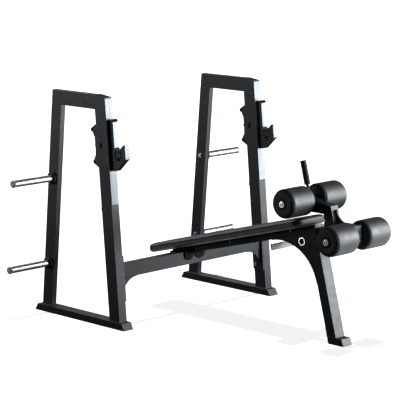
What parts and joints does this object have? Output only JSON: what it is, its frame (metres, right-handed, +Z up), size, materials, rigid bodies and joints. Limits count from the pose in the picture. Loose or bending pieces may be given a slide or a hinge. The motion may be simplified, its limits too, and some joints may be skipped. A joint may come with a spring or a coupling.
{
  "type": "olympic decline bench press",
  "caption": "Decline bench press with two side frames, height-adjustable bar hooks, plate storage horns, a sloping padded bench and a padded leg hold.",
  "frame": {"origin": "middle of the footprint, on the floor", "axes": "+Z up; +X across the bench, to the right of a user who lies on it looking up with the head at +Y; -Y towards the leg hold"},
  "size_m": [1.8362, 1.959, 1.3043],
  "materials": {
    "frame_paint": "satin black powder coat",
    "wear_steel": "pale brushed stainless steel",
    "fastener_steel": "zinc-plated steel",
    "axle_steel": "turned steel",
    "horn_chrome": "polished chrome",
    "black_rubber": "matte black rubber",
    "horn_cap_plastic": "pale moulded plastic",
    "pad_vinyl": "black grained vinyl with seams",
    "roller_vinyl": "black vinyl with a grey sheen",
    "board_wood": "plywood with a black backing cloth"
  },
  "bodies": {
    "frame": {"base_rail_left": "frame_paint", "base_rail_right": "frame_paint", "beam_bracket": "frame_paint", "bench_beam": "frame_paint", "bench_leg": "frame_paint", "cross_tie": "frame_paint", "crossbar": "frame_paint", "crossbar_end_plate_left": "frame_paint", "crossbar_end_plate_right": "frame_paint", "front_upright_left": "frame_paint", "front_upright_right": "frame_paint", "handle_grip": "black_rubber", "handle_rod": "frame_paint", "hook_stop_left": "black_rubber", "hook_stop_right": "black_rubber", "leg_foot": "frame_paint", "leg_gusset_left": "frame_paint", "leg_gusset_right": "frame_paint", "leg_hold_frame": "frame_paint", "leg_hold_web": "frame_paint", "lower_axle": "axle_steel", "lower_horn_cap_left": "horn_cap_plastic", "lower_horn_cap_right": "horn_cap_plastic", "lower_horn_collar_left": "black_rubber", "lower_horn_collar_right": "black_rubber", "lower_plate_horn_left": "horn_chrome", "lower_plate_horn_right": "horn_chrome", "lower_roller_cap_left": "fastener_steel", "lower_roller_cap_right": "fastener_steel", "pad_board": "board_wood", "pad_cushion": "pad_vinyl", "rear_upright_left": "frame_paint", "rear_upright_right": "frame_paint", "top_beam_left": "frame_paint", "top_beam_right": "frame_paint", "upper_axle": "axle_steel", "upper_horn_cap_left": "horn_cap_plastic", "upper_horn_cap_right": "horn_cap_plastic", "upper_horn_collar_left": "black_rubber", "upper_horn_collar_right": "black_rubber", "upper_plate_horn_left": "horn_chrome", "upper_plate_horn_right": "horn_chrome", "upper_roller_cap_left": "fastener_steel", "upper_roller_cap_right": "fastener_steel", "upright_cap_left": "frame_paint", "upright_cap_right": "frame_paint", "wear_strip_left": "wear_steel", "wear_strip_right": "wear_steel"},
    "left_hook": {"hook_carriage_left": "frame_paint", "bar_hook_left": "frame_paint", "hook_liner_left": "wear_steel"},
    "left_pull_pin": {"hook_pull_pin_left": "fastener_steel"},
    "upper_left_roller": {"upper_roller_left": "roller_vinyl"},
    "lower_left_roller": {"lower_roller_left": "roller_vinyl"},
    "right_hook": {"hook_carriage_right": "frame_paint", "bar_hook_right": "frame_paint", "hook_liner_right": "wear_steel"},
    "right_pull_pin": {"hook_pull_pin_right": "fastener_steel"},
    "upper_right_roller": {"upper_roller_right": "roller_vinyl"},
    "lower_right_roller": {"lower_roller_right": "roller_vinyl"}
  },
  "joints": [
    {"name": "left_hook_height", "type": "slide", "parent": "frame", "child": "left_hook", "axis": [0, 0.0889, 0.996], "range_m": [-0.24, 0.048]},
    {"name": "left_pin_pull", "type": "slide", "parent": "left_hook", "child": "left_pull_pin", "axis": [0, 0.996, -0.0889], "range_m": [0, 0.014], "stiffness_N_per_m": 400, "springref_m": -0.005},
    {"name": "right_hook_height", "type": "slide", "parent": "frame", "child": "right_hook", "axis": [0, 0.0889, 0.996], "range_m": [-0.24, 0.048]},
    {"name": "right_pin_pull", "type": "slide", "parent": "right_hook", "child": "right_pull_pin", "axis": [0, 0.996, -0.0889], "range_m": [0, 0.014], "stiffness_N_per_m": 400, "springref_m": -0.005},
    {"name": "upper_left_roller_spin", "type": "hinge", "parent": "frame", "child": "upper_left_roller", "pos_m": [-0.132, -0.5865, 0.768], "axis": [1, 0, 0], "continuous": true},
    {"name": "upper_right_roller_spin", "type": "hinge", "parent": "frame", "child": "upper_right_roller", "pos_m": [0.132, -0.5865, 0.768], "axis": [1, 0, 0], "continuous": true},
    {"name": "lower_left_roller_spin", "type": "hinge", "parent": "frame", "child": "lower_left_roller", "pos_m": [-0.132, -0.8985, 0.6055], "axis": [1, 0, 0], "continuous": true},
    {"name": "lower_right_roller_spin", "type": "hinge", "parent": "frame", "child": "lower_right_roller", "pos_m": [0.132, -0.8985, 0.6055], "axis": [1, 0, 0], "continuous": true}
  ]
}
